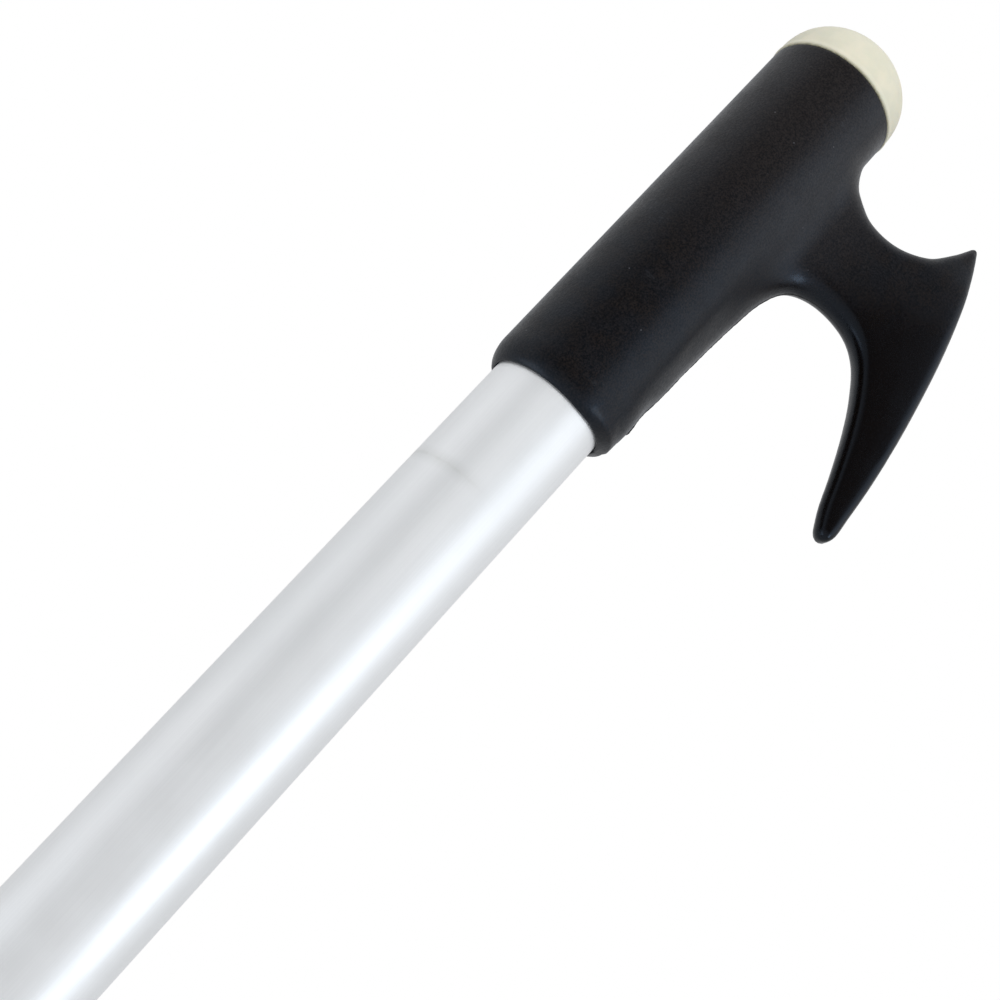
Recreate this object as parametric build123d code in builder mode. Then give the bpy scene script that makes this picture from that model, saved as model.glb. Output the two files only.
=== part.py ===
"""Telescopic aluminium boat hook with a moulded hook head.

The pole stands along +Z with its butt on the XY plane and its nose upwards. The origin is the
centre of the butt's flat face. The hook lies in the XZ plane: its barb reaches out along +X and
points down, back along the pole. All sizes are in millimetres.
"""

import os

from build123d import *

os.makedirs("parts", exist_ok=True)

# ---------------------------------------------------------------- driving dimensions
# Fits and small edges
FIXED_FIT = 0.03
SLIP_FIT = 0.02
RUNNING_FIT = 0.08
LEAD_IN = 1.0

# Tubes
OUTER_TUBE_R = 15.0
INNER_TUBE_R = 12.5
TUBE_WALL = 1.2
TUBE_CHAMFER = 0.3
OUTER_TUBE_LENGTH = 560.0
INNER_TUBE_LENGTH = 641.0

# Butt end cap
CAP_R = 15.6
CAP_HEAD_HEIGHT = 22.0
CAP_BUTT_EDGE_R = 3.0
CAP_SHOULDER_EDGE_R = 1.0
CAP_SPIGOT_LENGTH = 25.0
CAP_RECESS_R = 9.8
CAP_FLOOR = 3.0
CAP_FLAT_GAP = 26.0
CAP_FLAT_WIDTH = 16.0
CAP_FLAT_HEIGHT = 14.0
LANYARD_HOLE_R = 3.5
LANYARD_HOLE_Z = 11.0

# Hand grip
GRIP_R = 18.0
GRIP_BOTTOM = 44.0
GRIP_LENGTH = 140.0
GRIP_EDGE_R = 1.8
GRIP_GROOVES = 20
GRIP_GROOVE_PITCH = 6.0
GRIP_GROOVE_R = 0.8

# Twist clamp
CLAMP_FLANGE_R = 18.6
CLAMP_FLANGE_HEIGHT = 13.0
CLAMP_THREAD_R = 17.4
CLAMP_SKIRT = 42.0
CLAMP_GUIDE = 8.0
CLAMP_CONE_DEPTH = 3.4
CLAMP_CONE_FOOT = 0.45
CLAMP_CONE_MOUTH = 2.5
COLLET_HEIGHT = 13.0
COLLET_SEAT_DEPTH = 3.2
COLLET_WALL = 2.6
COLLET_FOOT_WALL = 0.5
COLLET_TOP_WALL = 1.0
COLLET_LOWER_CONE = 3.6
COLLET_UPPER_CONE = 4.5
COLLET_OPEN_SLIT = 2.0
COLLET_BLIND_SLIT = 1.2
COLLET_BLIND_SLIT_DEPTH = 7.0
WASHER_THICKNESS = 1.0
WASHER_OUTER_GAP = 3.4
WASHER_INNER_GAP = 0.3
NUT_R = 20.5
NUT_LENGTH = 50.0
NUT_CLEARANCE = 3.0
NUT_EDGE_R = 1.4
NUT_TAPER = 3.4
NUT_TAPER_LENGTH = 9.0
NUT_THROAT_GAP = 0.4
NUT_CHAMBER_GAP = 3.6
NUT_STEP_GAP = 0.6
NUT_FLUTES = 18
NUT_FLUTE_R = 2.2
NUT_FLUTE_OFFSET = 0.9
NUT_PLAIN_BAND = 5.0

# Hook head, measured from the mouth of its sleeve
REST_EXPOSURE = 228.0
SLEEVE_R = 15.1
SLEEVE_LENGTH = 95.8
LIP_HEIGHT = 5.0
LIP_R = 13.4
LIP_BULGE = (14.5, 1.5)
SOCKET_R = 12.6
SOCKET_DEPTH = 87.0
BLADE_ROOT_X = 8.0
BLADE_BOTTOM = 22.0
BLADE_TOP = 93.0
BLADE_REACH = 61.0
BLADE_ROOT_HALF = 12.4
BLADE_TIP_HALF = 3.6
BLADE_EDGE_RADIUS = 1.6

# Nose plug
NOSE_HOLE_R = 10.4
NOSE_HEIGHT = 15.0
NOSE_SPIGOT_LENGTH = 13.0
NOSE_SPIGOT_TAPER = (1.2, 2.5)

# Rivets, pins, screw and seals
RIVET_R = 1.6
RIVET_HEAD_R = 3.2
RIVET_HEAD_HEIGHT = 0.9
RIVET_CROWN_DROP = 0.2
RIVET_OVERLAP = 0.3
CAP_RIVET_TAIL_R = 9.0
PIN_R = 1.5
PIN_INSIDE_R = 8.5
SCREW_R = 1.6
SCREW_SEAT_R = 4.2
SCREW_SEAT_DEPTH = 0.9
SCREW_HEAD_R = 3.4
SCREW_HEAD_HEIGHT = 2.2
SCREW_RIM_HEIGHT = 0.6
SCREW_RECESS = (3.6, 0.9, 1.2)
SEAL_SECTION_R = 1.15
SEAL_SQUEEZE = 0.03
SEAL_GROOVE_DEPTH = 2.3

# Inside the inner tube
BUSH_LENGTH = 22.0
BUSH_OFFSET = 2.0
BUSH_SPLIT = 2.0
BUNG_FLANGE = 3.0
BUNG_FIT = 0.05
BUNG_LENGTH = 23.0
BUNG_FLOOR = 2.0
LOWER_BUNG_BORE_R = 7.6
UPPER_BUNG_LENGTH = 14.0
UPPER_BUNG_DROP = 22.0
UPPER_BUNG_FLOOR = 3.0
UPPER_BUNG_BORE_R = 8.4
UPPER_BUNG_CHAMFER = 0.8
FLOAT_R = 10.2
FLOAT_GAP = 2.0

# ---------------------------------------------------------------- heights that follow
OUTER_TUBE_BORE_R = OUTER_TUBE_R - TUBE_WALL
INNER_TUBE_BORE_R = INNER_TUBE_R - TUBE_WALL
TUBE_BOTTOM = CAP_HEAD_HEIGHT
TUBE_TOP = TUBE_BOTTOM + OUTER_TUBE_LENGTH
CAP_RIVET_Z = TUBE_BOTTOM + 8.0
CAP_SEAL_Z = TUBE_BOTTOM + 18.0
CLAMP_BOTTOM = TUBE_TOP - CLAMP_SKIRT
CLAMP_FLANGE_TOP = CLAMP_BOTTOM + CLAMP_FLANGE_HEIGHT
CLAMP_TOP = TUBE_TOP + CLAMP_GUIDE
CLAMP_RIVET_Z = CLAMP_BOTTOM + CLAMP_FLANGE_HEIGHT / 2
COLLET_BOTTOM = CLAMP_TOP - COLLET_SEAT_DEPTH
COLLET_TOP = COLLET_BOTTOM + COLLET_HEIGHT
WASHER_BOTTOM = COLLET_TOP + 0.1
WASHER_TOP = WASHER_BOTTOM + WASHER_THICKNESS
NUT_BOTTOM = CLAMP_FLANGE_TOP + NUT_CLEARANCE
NUT_TOP = NUT_BOTTOM + NUT_LENGTH
MOUTH_Z = NUT_TOP + REST_EXPOSURE
INNER_TUBE_TOP = MOUTH_Z + SOCKET_DEPTH - 1.0
INNER_TUBE_BOTTOM = INNER_TUBE_TOP - INNER_TUBE_LENGTH
BUSH_BOTTOM = INNER_TUBE_BOTTOM + BUSH_OFFSET
BUSH_MIDDLE = BUSH_BOTTOM + BUSH_LENGTH / 2
BUSH_R = OUTER_TUBE_BORE_R - RUNNING_FIT
BUNG_R = INNER_TUBE_BORE_R - BUNG_FIT
BUNG_SEAL_Z = INNER_TUBE_BOTTOM + 17.0
BUNG_TOP = INNER_TUBE_BOTTOM + BUNG_LENGTH
UPPER_BUNG_BOTTOM = INNER_TUBE_TOP - UPPER_BUNG_DROP
HEAD_SCREW_Z = MOUTH_Z + 22.0
NOSE_Z = MOUTH_Z + SLEEVE_LENGTH

# Sections are drawn in this plane: its first axis is the radius and its second the height.
SECTION = Plane.XZ
# The head's own section plane starts at the mouth of the sleeve.
HEAD_SECTION = Plane(origin=(0, 0, MOUTH_Z), x_dir=(1, 0, 0), z_dir=(0, -1, 0))


def rivet_head_profile(seat_radius):
    """Half of a low domed rivet head on a seat, with the rivet's axis along the first axis."""
    foot = seat_radius - 0.6
    crown = seat_radius + RIVET_HEAD_HEIGHT
    shoulder = crown - RIVET_CROWN_DROP
    Line((foot, 0), (foot, RIVET_HEAD_R))
    Line((foot, RIVET_HEAD_R), (seat_radius, RIVET_HEAD_R))
    ThreePointArc((seat_radius, RIVET_HEAD_R), (shoulder, RIVET_HEAD_R * 0.6), (crown, 0))
    Line((crown, 0), (foot, 0))


# ================================================================ handle: butt end cap
with BuildPart() as end_cap:
    spigot_r = OUTER_TUBE_BORE_R - 0.1
    spigot_top = TUBE_BOTTOM + CAP_SPIGOT_LENGTH
    with BuildSketch(SECTION):
        with BuildLine():
            Polyline(
                (0, 0),
                (CAP_R, 0),
                (CAP_R, TUBE_BOTTOM),
                (spigot_r, TUBE_BOTTOM),
                (spigot_r, spigot_top - LEAD_IN),
                (spigot_r - LEAD_IN, spigot_top),
                (CAP_RECESS_R, spigot_top),
                (CAP_RECESS_R, TUBE_BOTTOM + CAP_FLOOR),
                (0, TUBE_BOTTOM + CAP_FLOOR),
                close=True,
            )
        make_face()
    revolve(axis=Axis.Z)
    for height, edge_r in ((0, CAP_BUTT_EDGE_R), (TUBE_BOTTOM, CAP_SHOULDER_EDGE_R)):
        rims = end_cap.edges().filter_by(GeomType.CIRCLE).group_by(SortBy.RADIUS)[-1]
        fillet(rims.filter_by_position(Axis.Z, height - 0.1, height + 0.1), edge_r)
    # Groove for the seal
    with BuildSketch(SECTION):
        with Locations((spigot_r, CAP_SEAL_Z)):
            Rectangle(2 * SEAL_GROOVE_DEPTH, 2 * SEAL_SECTION_R + 0.1)
    revolve(axis=Axis.Z, mode=Mode.SUBTRACT)
    # Two flats, and the lanyard hole from one to the other
    cut_y = CAP_FLAT_GAP / 2 + CAP_R / 2
    with Locations((0, cut_y, LANYARD_HOLE_Z), (0, -cut_y, LANYARD_HOLE_Z)):
        Box(CAP_FLAT_WIDTH, CAP_R, CAP_FLAT_HEIGHT, mode=Mode.SUBTRACT)
    with Locations((0, 0, LANYARD_HOLE_Z)):
        Cylinder(LANYARD_HOLE_R, 3 * CAP_R, rotation=(90, 0, 0), mode=Mode.SUBTRACT)
    # Holes for the two rivets
    with Locations((0, 0, CAP_RIVET_Z)):
        Cylinder(RIVET_R, 2 * CAP_R, rotation=(0, 90, 0), mode=Mode.SUBTRACT)
end_cap.part.label = "end_cap"
export_step(end_cap.part, "parts/end_cap.step")

with BuildPart() as end_cap_seal:
    with Locations((0, 0, CAP_SEAL_Z)):
        Torus(OUTER_TUBE_BORE_R - SEAL_SECTION_R - SEAL_SQUEEZE, SEAL_SECTION_R)
end_cap_seal.part.label = "end_cap_seal"
export_step(end_cap_seal.part, "parts/end_cap_seal.step")

with BuildPart() as end_cap_rivets:
    with BuildSketch(Plane.XY.offset(CAP_RIVET_Z)):
        with BuildLine():
            rivet_head_profile(OUTER_TUBE_R)
        make_face()
    revolve(axis=Axis((0, 0, CAP_RIVET_Z), (1, 0, 0)))
    mirror(about=Plane.YZ)
    with Locations((0, 0, CAP_RIVET_Z)):
        Cylinder(OUTER_TUBE_R, 4 * RIVET_HEAD_R, mode=Mode.SUBTRACT)
    shank_length = OUTER_TUBE_R - CAP_RIVET_TAIL_R + RIVET_OVERLAP
    shank_middle = CAP_RIVET_TAIL_R + shank_length / 2
    with Locations((shank_middle, 0, CAP_RIVET_Z), (-shank_middle, 0, CAP_RIVET_Z)):
        Cylinder(RIVET_R - SLIP_FIT, shank_length, rotation=(0, 90, 0))
end_cap_rivets.part.label = "end_cap_rivets"
export_step(end_cap_rivets.part, "parts/end_cap_rivets.step")

# ================================================================ handle: outer tube
with BuildPart() as outer_tube:
    with BuildSketch(Plane.XY.offset(TUBE_BOTTOM)):
        Circle(OUTER_TUBE_R)
        Circle(OUTER_TUBE_BORE_R, mode=Mode.SUBTRACT)
    extrude(amount=OUTER_TUBE_LENGTH)
    chamfer(outer_tube.edges().filter_by(GeomType.CIRCLE), TUBE_CHAMFER)
    with Locations((0, 0, CAP_RIVET_Z)):
        Cylinder(RIVET_R, 3 * OUTER_TUBE_R, rotation=(0, 90, 0), mode=Mode.SUBTRACT)
    with Locations((0, 0, CLAMP_RIVET_Z)):
        Cylinder(RIVET_R, 3 * OUTER_TUBE_R, rotation=(90, 0, 0), mode=Mode.SUBTRACT)
outer_tube.part.label = "outer_tube"
export_step(outer_tube.part, "parts/outer_tube.step")

# ================================================================ handle: rubber hand grip
with BuildPart() as grip_sleeve:
    with BuildSketch(Plane.XY.offset(GRIP_BOTTOM)):
        Circle(GRIP_R)
        Circle(OUTER_TUBE_R + SLIP_FIT, mode=Mode.SUBTRACT)
    extrude(amount=GRIP_LENGTH)
    fillet(grip_sleeve.edges().filter_by(GeomType.CIRCLE).group_by(SortBy.RADIUS)[-1], GRIP_EDGE_R)
    # Ring grooves along the middle
    with BuildSketch(SECTION):
        with Locations((GRIP_R, GRIP_BOTTOM + GRIP_LENGTH / 2)):
            with GridLocations(0, GRIP_GROOVE_PITCH, 1, GRIP_GROOVES):
                Circle(GRIP_GROOVE_R)
    revolve(axis=Axis.Z, mode=Mode.SUBTRACT)
grip_sleeve.part.label = "grip_sleeve"
export_step(grip_sleeve.part, "parts/grip_sleeve.step")

# ================================================================ handle: twist clamp
with BuildPart() as clamp_base:
    bore_r = INNER_TUBE_R + RUNNING_FIT
    tube_stop = TUBE_TOP + 0.1
    with BuildSketch(SECTION):
        with BuildLine():
            Polyline(
                (OUTER_TUBE_R + FIXED_FIT, CLAMP_BOTTOM),
                (CLAMP_FLANGE_R - LEAD_IN, CLAMP_BOTTOM),
                (CLAMP_FLANGE_R, CLAMP_BOTTOM + LEAD_IN),
                (CLAMP_FLANGE_R, CLAMP_FLANGE_TOP - LEAD_IN),
                (CLAMP_FLANGE_R - LEAD_IN, CLAMP_FLANGE_TOP),
                (CLAMP_THREAD_R, CLAMP_FLANGE_TOP),
                (CLAMP_THREAD_R, CLAMP_TOP - LEAD_IN),
                (CLAMP_THREAD_R - LEAD_IN, CLAMP_TOP),
                (bore_r + CLAMP_CONE_MOUTH, CLAMP_TOP),
                (bore_r + CLAMP_CONE_FOOT, CLAMP_TOP - CLAMP_CONE_DEPTH),
                (bore_r, CLAMP_TOP - CLAMP_CONE_DEPTH),
                (bore_r, tube_stop),
                (OUTER_TUBE_R + FIXED_FIT, tube_stop),
                close=True,
            )
        make_face()
    revolve(axis=Axis.Z)
    with Locations((0, 0, CLAMP_RIVET_Z)):
        Cylinder(RIVET_R, 3 * OUTER_TUBE_R, rotation=(90, 0, 0), mode=Mode.SUBTRACT)
clamp_base.part.label = "clamp_base"
export_step(clamp_base.part, "parts/clamp_base.step")

with BuildPart() as clamp_rivets:
    with BuildSketch(Plane((0, 0, CLAMP_RIVET_Z), x_dir=(0, 1, 0), z_dir=(0, 0, 1))):
        with BuildLine():
            rivet_head_profile(CLAMP_FLANGE_R)
        make_face()
    revolve(axis=Axis((0, 0, CLAMP_RIVET_Z), (0, 1, 0)))
    mirror(about=Plane.XZ)
    with Locations((0, 0, CLAMP_RIVET_Z)):
        Cylinder(CLAMP_FLANGE_R, 4 * RIVET_HEAD_R, mode=Mode.SUBTRACT)
    tail_r = OUTER_TUBE_BORE_R - 0.4
    shank_length = CLAMP_FLANGE_R - tail_r + RIVET_OVERLAP
    shank_middle = tail_r + shank_length / 2
    with Locations((0, shank_middle, CLAMP_RIVET_Z), (0, -shank_middle, CLAMP_RIVET_Z)):
        Cylinder(RIVET_R - SLIP_FIT, shank_length, rotation=(90, 0, 0))
clamp_rivets.part.label = "clamp_rivets"
export_step(clamp_rivets.part, "parts/clamp_rivets.step")

with BuildPart() as collet:
    inside_r = INNER_TUBE_R + RUNNING_FIT - SLIP_FIT
    with BuildSketch(SECTION):
        with BuildLine():
            Polyline(
                (inside_r, COLLET_BOTTOM),
                (inside_r + COLLET_FOOT_WALL, COLLET_BOTTOM),
                (inside_r + COLLET_WALL, COLLET_BOTTOM + COLLET_LOWER_CONE),
                (inside_r + COLLET_WALL, COLLET_TOP - COLLET_UPPER_CONE),
                (inside_r + COLLET_TOP_WALL, COLLET_TOP),
                (inside_r, COLLET_TOP),
                close=True,
            )
        make_face()
    revolve(axis=Axis.Z)
    # One slit right through, and three part-way slits that let the ring close evenly
    slit_run = 5 * COLLET_WALL
    with Locations((-INNER_TUBE_R, 0, (COLLET_BOTTOM + COLLET_TOP) / 2)):
        Box(slit_run, COLLET_OPEN_SLIT, 2 * COLLET_HEIGHT, mode=Mode.SUBTRACT)
    with Locations((0, 0, COLLET_TOP)):
        with PolarLocations(INNER_TUBE_R, 3, start_angle=-90, angular_range=270):
            Box(slit_run, COLLET_BLIND_SLIT, 2 * COLLET_BLIND_SLIT_DEPTH, mode=Mode.SUBTRACT)
collet.part.label = "collet"
export_step(collet.part, "parts/collet.step")

with BuildPart() as lock_nut:
    thread_r = CLAMP_THREAD_R + RUNNING_FIT - SLIP_FIT
    throat_r = INNER_TUBE_R + NUT_THROAT_GAP
    chamber_r = INNER_TUBE_R + NUT_CHAMBER_GAP
    with BuildSketch(SECTION):
        with BuildLine():
            Polyline(
                (thread_r, NUT_BOTTOM),
                (NUT_R, NUT_BOTTOM),
                (NUT_R, NUT_TOP - NUT_TAPER_LENGTH),
                (NUT_R - NUT_TAPER, NUT_TOP),
                (throat_r, NUT_TOP),
                (throat_r, WASHER_TOP + 0.1),
                (chamber_r, WASHER_TOP + 0.1),
                (chamber_r, CLAMP_TOP + NUT_STEP_GAP),
                (thread_r, CLAMP_TOP + NUT_STEP_GAP),
                close=True,
            )
        make_face()
    revolve(axis=Axis.Z)
    outer_rims = lock_nut.edges().filter_by(GeomType.CIRCLE).group_by(SortBy.RADIUS)[-1]
    fillet(outer_rims, NUT_EDGE_R)
    # Finger flutes round the outside
    with BuildSketch(Plane.XY.offset(NUT_BOTTOM + NUT_PLAIN_BAND)):
        with PolarLocations(NUT_R + NUT_FLUTE_OFFSET, NUT_FLUTES):
            Circle(NUT_FLUTE_R)
    extrude(amount=NUT_LENGTH, mode=Mode.SUBTRACT)
lock_nut.part.label = "lock_nut"
export_step(lock_nut.part, "parts/lock_nut.step")

with BuildPart() as thrust_washer:
    with BuildSketch(Plane.XY.offset(WASHER_BOTTOM)):
        Circle(INNER_TUBE_R + WASHER_OUTER_GAP)
        Circle(INNER_TUBE_R + WASHER_INNER_GAP, mode=Mode.SUBTRACT)
    extrude(amount=WASHER_THICKNESS)
thrust_washer.part.label = "thrust_washer"
export_step(thrust_washer.part, "parts/thrust_washer.step")

# ================================================================ pole: inner tube
with BuildPart() as inner_tube:
    with BuildSketch(Plane.XY.offset(INNER_TUBE_BOTTOM)):
        Circle(INNER_TUBE_R)
        Circle(INNER_TUBE_BORE_R, mode=Mode.SUBTRACT)
    extrude(amount=INNER_TUBE_LENGTH)
    chamfer(inner_tube.edges().filter_by(GeomType.CIRCLE), TUBE_CHAMFER)
    with Locations((0, 0, BUSH_MIDDLE)):
        Cylinder(PIN_R, 3 * INNER_TUBE_R, rotation=(0, 90, 0), mode=Mode.SUBTRACT)
    with Locations((0, INNER_TUBE_R, HEAD_SCREW_Z)):
        Cylinder(SCREW_R, 6 * TUBE_WALL, rotation=(90, 0, 0), mode=Mode.SUBTRACT)
inner_tube.part.label = "inner_tube"
export_step(inner_tube.part, "parts/inner_tube.step")

# ================================================================ pole: lower end of the inner tube
with BuildPart() as guide_bush:
    with BuildSketch(Plane.XY.offset(BUSH_BOTTOM)):
        Circle(BUSH_R)
        Circle(INNER_TUBE_R + SLIP_FIT, mode=Mode.SUBTRACT)
        # A split lets the ring spring over the tube
        with Locations((0, -BUSH_R)):
            Rectangle(BUSH_SPLIT, 5 * TUBE_WALL, mode=Mode.SUBTRACT)
    extrude(amount=BUSH_LENGTH)
    with Locations((0, 0, BUSH_MIDDLE)):
        Cylinder(PIN_R, 3 * INNER_TUBE_R, rotation=(0, 90, 0), mode=Mode.SUBTRACT)
guide_bush.part.label = "guide_bush"
export_step(guide_bush.part, "parts/guide_bush.step")

with BuildPart() as bush_pins:
    pin_outside_r = BUSH_R - 0.15
    pin_middle = (PIN_INSIDE_R + pin_outside_r) / 2
    with Locations((pin_middle, 0, BUSH_MIDDLE), (-pin_middle, 0, BUSH_MIDDLE)):
        Cylinder(PIN_R - SLIP_FIT, pin_outside_r - PIN_INSIDE_R, rotation=(0, 90, 0))
bush_pins.part.label = "bush_pins"
export_step(bush_pins.part, "parts/bush_pins.step")

with BuildPart() as lower_bung:
    flange_r = INNER_TUBE_R - 0.1
    flange_bottom = INNER_TUBE_BOTTOM - BUNG_FLANGE
    bore_bottom = INNER_TUBE_BOTTOM + BUNG_FLOOR
    with BuildSketch(SECTION):
        with BuildLine():
            Polyline(
                (0, flange_bottom),
                (flange_r - LEAD_IN, flange_bottom),
                (flange_r, flange_bottom + LEAD_IN),
                (flange_r, INNER_TUBE_BOTTOM),
                (BUNG_R, INNER_TUBE_BOTTOM),
                (BUNG_R, BUNG_TOP - LEAD_IN),
                (BUNG_R - LEAD_IN, BUNG_TOP),
                (LOWER_BUNG_BORE_R, BUNG_TOP),
                (LOWER_BUNG_BORE_R, bore_bottom),
                (0, bore_bottom),
                close=True,
            )
        make_face()
    revolve(axis=Axis.Z)
    with BuildSketch(SECTION):
        with Locations((BUNG_R, BUNG_SEAL_Z)):
            Rectangle(2 * SEAL_GROOVE_DEPTH, 2 * SEAL_SECTION_R + 0.1)
    revolve(axis=Axis.Z, mode=Mode.SUBTRACT)
    with Locations((0, 0, BUSH_MIDDLE)):
        Cylinder(PIN_R, 3 * INNER_TUBE_R, rotation=(0, 90, 0), mode=Mode.SUBTRACT)
lower_bung.part.label = "lower_bung"
export_step(lower_bung.part, "parts/lower_bung.step")

with BuildPart() as bung_seal:
    with Locations((0, 0, BUNG_SEAL_Z)):
        Torus(INNER_TUBE_BORE_R - SEAL_SECTION_R - SEAL_SQUEEZE, SEAL_SECTION_R)
bung_seal.part.label = "bung_seal"
export_step(bung_seal.part, "parts/bung_seal.step")

# ================================================================ pole: buoyancy and upper bung
with BuildPart() as float_core:
    core_bottom = BUNG_TOP + FLOAT_GAP
    core_top = UPPER_BUNG_BOTTOM - FLOAT_GAP
    with BuildSketch(Plane.XY.offset(core_bottom)):
        Circle(FLOAT_R)
    extrude(amount=core_top - core_bottom)
float_core.part.label = "float_core"
export_step(float_core.part, "parts/float_core.step")

with BuildPart() as upper_bung:
    with BuildSketch(Plane.XY.offset(UPPER_BUNG_BOTTOM)):
        Circle(BUNG_R)
    extrude(amount=UPPER_BUNG_LENGTH)
    chamfer(upper_bung.edges().filter_by(GeomType.CIRCLE), UPPER_BUNG_CHAMFER)
    with BuildSketch(Plane.XY.offset(UPPER_BUNG_BOTTOM + UPPER_BUNG_FLOOR)):
        Circle(UPPER_BUNG_BORE_R)
    extrude(amount=UPPER_BUNG_LENGTH, mode=Mode.SUBTRACT)
upper_bung.part.label = "upper_bung"
export_step(upper_bung.part, "parts/upper_bung.step")

# ================================================================ pole: hook head
with BuildPart() as hook_head:
    # The blade's outline: crotch and barb, outer edge, upper horn and push notch
    crotch = (30.5, 58.6)
    barb_inner = (55.3, 21.3)
    barb_outer = (60.1, 22.4)
    outer_middle = (56.6, 58.0)
    horn_outer = (45.8, 93.4)
    horn_inner = (43.8, 93.0)
    notch_floor = (29.0, 81.1)
    root_low = (14.9, BLADE_BOTTOM)
    root_high = (14.4, BLADE_TOP)
    with BuildSketch(HEAD_SECTION):
        with BuildLine():
            inner_edge = Spline(
                root_low,
                (17.0, 44.5),
                (21.0, 55.2),
                crotch,
                (40.0, 54.4),
                (49.3, 37.6),
                barb_inner,
                tangents=[(0.02, 1), (0.37, -0.93)],
            )
            tip = TangentArc(barb_inner, barb_outer, tangent=inner_edge % 1)
            outer_edge = Spline(barb_outer, outer_middle, horn_outer, tangents=[tip % 1, (-0.44, 0.9)])
            horn = TangentArc(horn_outer, horn_inner, tangent=outer_edge % 1)
            Spline(horn_inner, notch_floor, root_high, tangents=[horn % 1, (0.05, 1)])
            Polyline(root_high, (BLADE_ROOT_X, BLADE_TOP), (BLADE_ROOT_X, BLADE_BOTTOM), root_low)
        make_face()
    extrude(amount=SLEEVE_R, both=True)
    # The blade's thickness, seen along the pole: broad at the root, thin at the edge
    with BuildSketch(Plane.XY.offset(MOUTH_Z)):
        with BuildLine():
            root = (BLADE_ROOT_X, BLADE_ROOT_HALF)
            end = (BLADE_REACH, BLADE_TIP_HALF)
            Spline(root, (12.0, 9.7), (16.0, 7.8), (24.0, 5.9), (34.0, 4.8), (48.0, 4.2), end)
            Polyline(end, (BLADE_REACH, 0), (BLADE_ROOT_X, 0), root)
        make_face()
        mirror(about=Plane.XZ)
    extrude(amount=SLEEVE_LENGTH, mode=Mode.INTERSECT)
    outline_edges = hook_head.edges().filter_by(GeomType.BSPLINE).filter_by(
        lambda edge: edge.center().X > 20 and abs(edge.center().Y) > 2.5
    )
    fillet(outline_edges, BLADE_EDGE_RADIUS)
    # The sleeve, with a rounded lip at its mouth
    with BuildSketch(HEAD_SECTION):
        with BuildLine():
            Line((SOCKET_R, 0), (LIP_R, 0))
            ThreePointArc((LIP_R, 0), LIP_BULGE, (SLEEVE_R, LIP_HEIGHT))
            Line((SLEEVE_R, LIP_HEIGHT), (SLEEVE_R, SLEEVE_LENGTH))
            Polyline((SLEEVE_R, SLEEVE_LENGTH), (0, SLEEVE_LENGTH), (0, SOCKET_DEPTH))
            Polyline((0, SOCKET_DEPTH), (SOCKET_R, SOCKET_DEPTH), (SOCKET_R, 0))
        make_face()
    revolve(axis=Axis.Z)
    # The socket for the tube, and the hole for the nose plug's spigot
    with Locations((0, 0, MOUTH_Z + SOCKET_DEPTH / 2)):
        Cylinder(SOCKET_R, SOCKET_DEPTH, mode=Mode.SUBTRACT)
    with Locations((0, 0, NOSE_Z)):
        Cylinder(NOSE_HOLE_R, 2 * NOSE_SPIGOT_LENGTH, mode=Mode.SUBTRACT)
    # Flat seat and pilot hole for the screw
    with Locations((0, SLEEVE_R, HEAD_SCREW_Z)):
        Cylinder(SCREW_SEAT_R, 2 * SCREW_SEAT_DEPTH, rotation=(90, 0, 0), mode=Mode.SUBTRACT)
        Cylinder(SCREW_R, SLEEVE_R, rotation=(90, 0, 0), mode=Mode.SUBTRACT)
hook_head.part.label = "hook_head"
export_step(hook_head.part, "parts/hook_head.step")

with BuildPart() as head_screw:
    seat_y = SLEEVE_R - SCREW_SEAT_DEPTH
    crown_y = seat_y + SCREW_HEAD_HEIGHT
    rim_y = seat_y + SCREW_RIM_HEIGHT
    shank_r = SCREW_R - SLIP_FIT
    tip_y = INNER_TUBE_BORE_R - 0.9
    with BuildSketch(Plane((0, 0, HEAD_SCREW_Z), x_dir=(0, 1, 0), z_dir=(0, 0, 1))):
        with BuildLine():
            ThreePointArc((crown_y, 0), (crown_y - 0.4, 0.65 * SCREW_HEAD_R), (rim_y, SCREW_HEAD_R))
            Polyline(
                (rim_y, SCREW_HEAD_R),
                (seat_y, SCREW_HEAD_R),
                (seat_y, shank_r),
                (tip_y + 0.7, shank_r),
                (tip_y, 0),
                (crown_y, 0),
            )
        make_face()
    revolve(axis=Axis((0, 0, HEAD_SCREW_Z), (0, 1, 0)))
    # Cross recess for the driver
    span, slot_width, slot_depth = SCREW_RECESS
    with Locations((0, crown_y, HEAD_SCREW_Z)):
        Box(span, 2 * slot_depth, slot_width, mode=Mode.SUBTRACT)
        Box(slot_width, 2 * slot_depth, span, mode=Mode.SUBTRACT)
head_screw.part.label = "head_screw"
export_step(head_screw.part, "parts/head_screw.step")

# ================================================================ pole: nose plug
with BuildPart() as nose_plug:
    spigot_r = NOSE_HOLE_R - 0.05
    spigot_bottom = NOSE_Z - NOSE_SPIGOT_LENGTH
    taper_width, taper_height = NOSE_SPIGOT_TAPER
    dome_foot = (SLEEVE_R, NOSE_Z)
    dome_top = (0, NOSE_Z + NOSE_HEIGHT)
    with BuildSketch(SECTION):
        with BuildLine():
            Polyline(
                (0, spigot_bottom),
                (spigot_r - taper_width, spigot_bottom),
                (spigot_r, spigot_bottom + taper_height),
                (spigot_r, NOSE_Z),
                dome_foot,
            )
            # A dome a little fuller than a half ball, so its shoulders are round and its top low
            Spline(
                dome_foot,
                (SLEEVE_R * 0.94, NOSE_Z + NOSE_HEIGHT * 0.41),
                (SLEEVE_R * 0.63, NOSE_Z + NOSE_HEIGHT * 0.8),
                dome_top,
                tangents=[(0.1, 1), (-1, 0)],
            )
            Line(dome_top, (0, spigot_bottom))
        make_face()
    revolve(axis=Axis.Z)
nose_plug.part.label = "nose_plug"
export_step(nose_plug.part, "parts/nose_plug.step")
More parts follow.
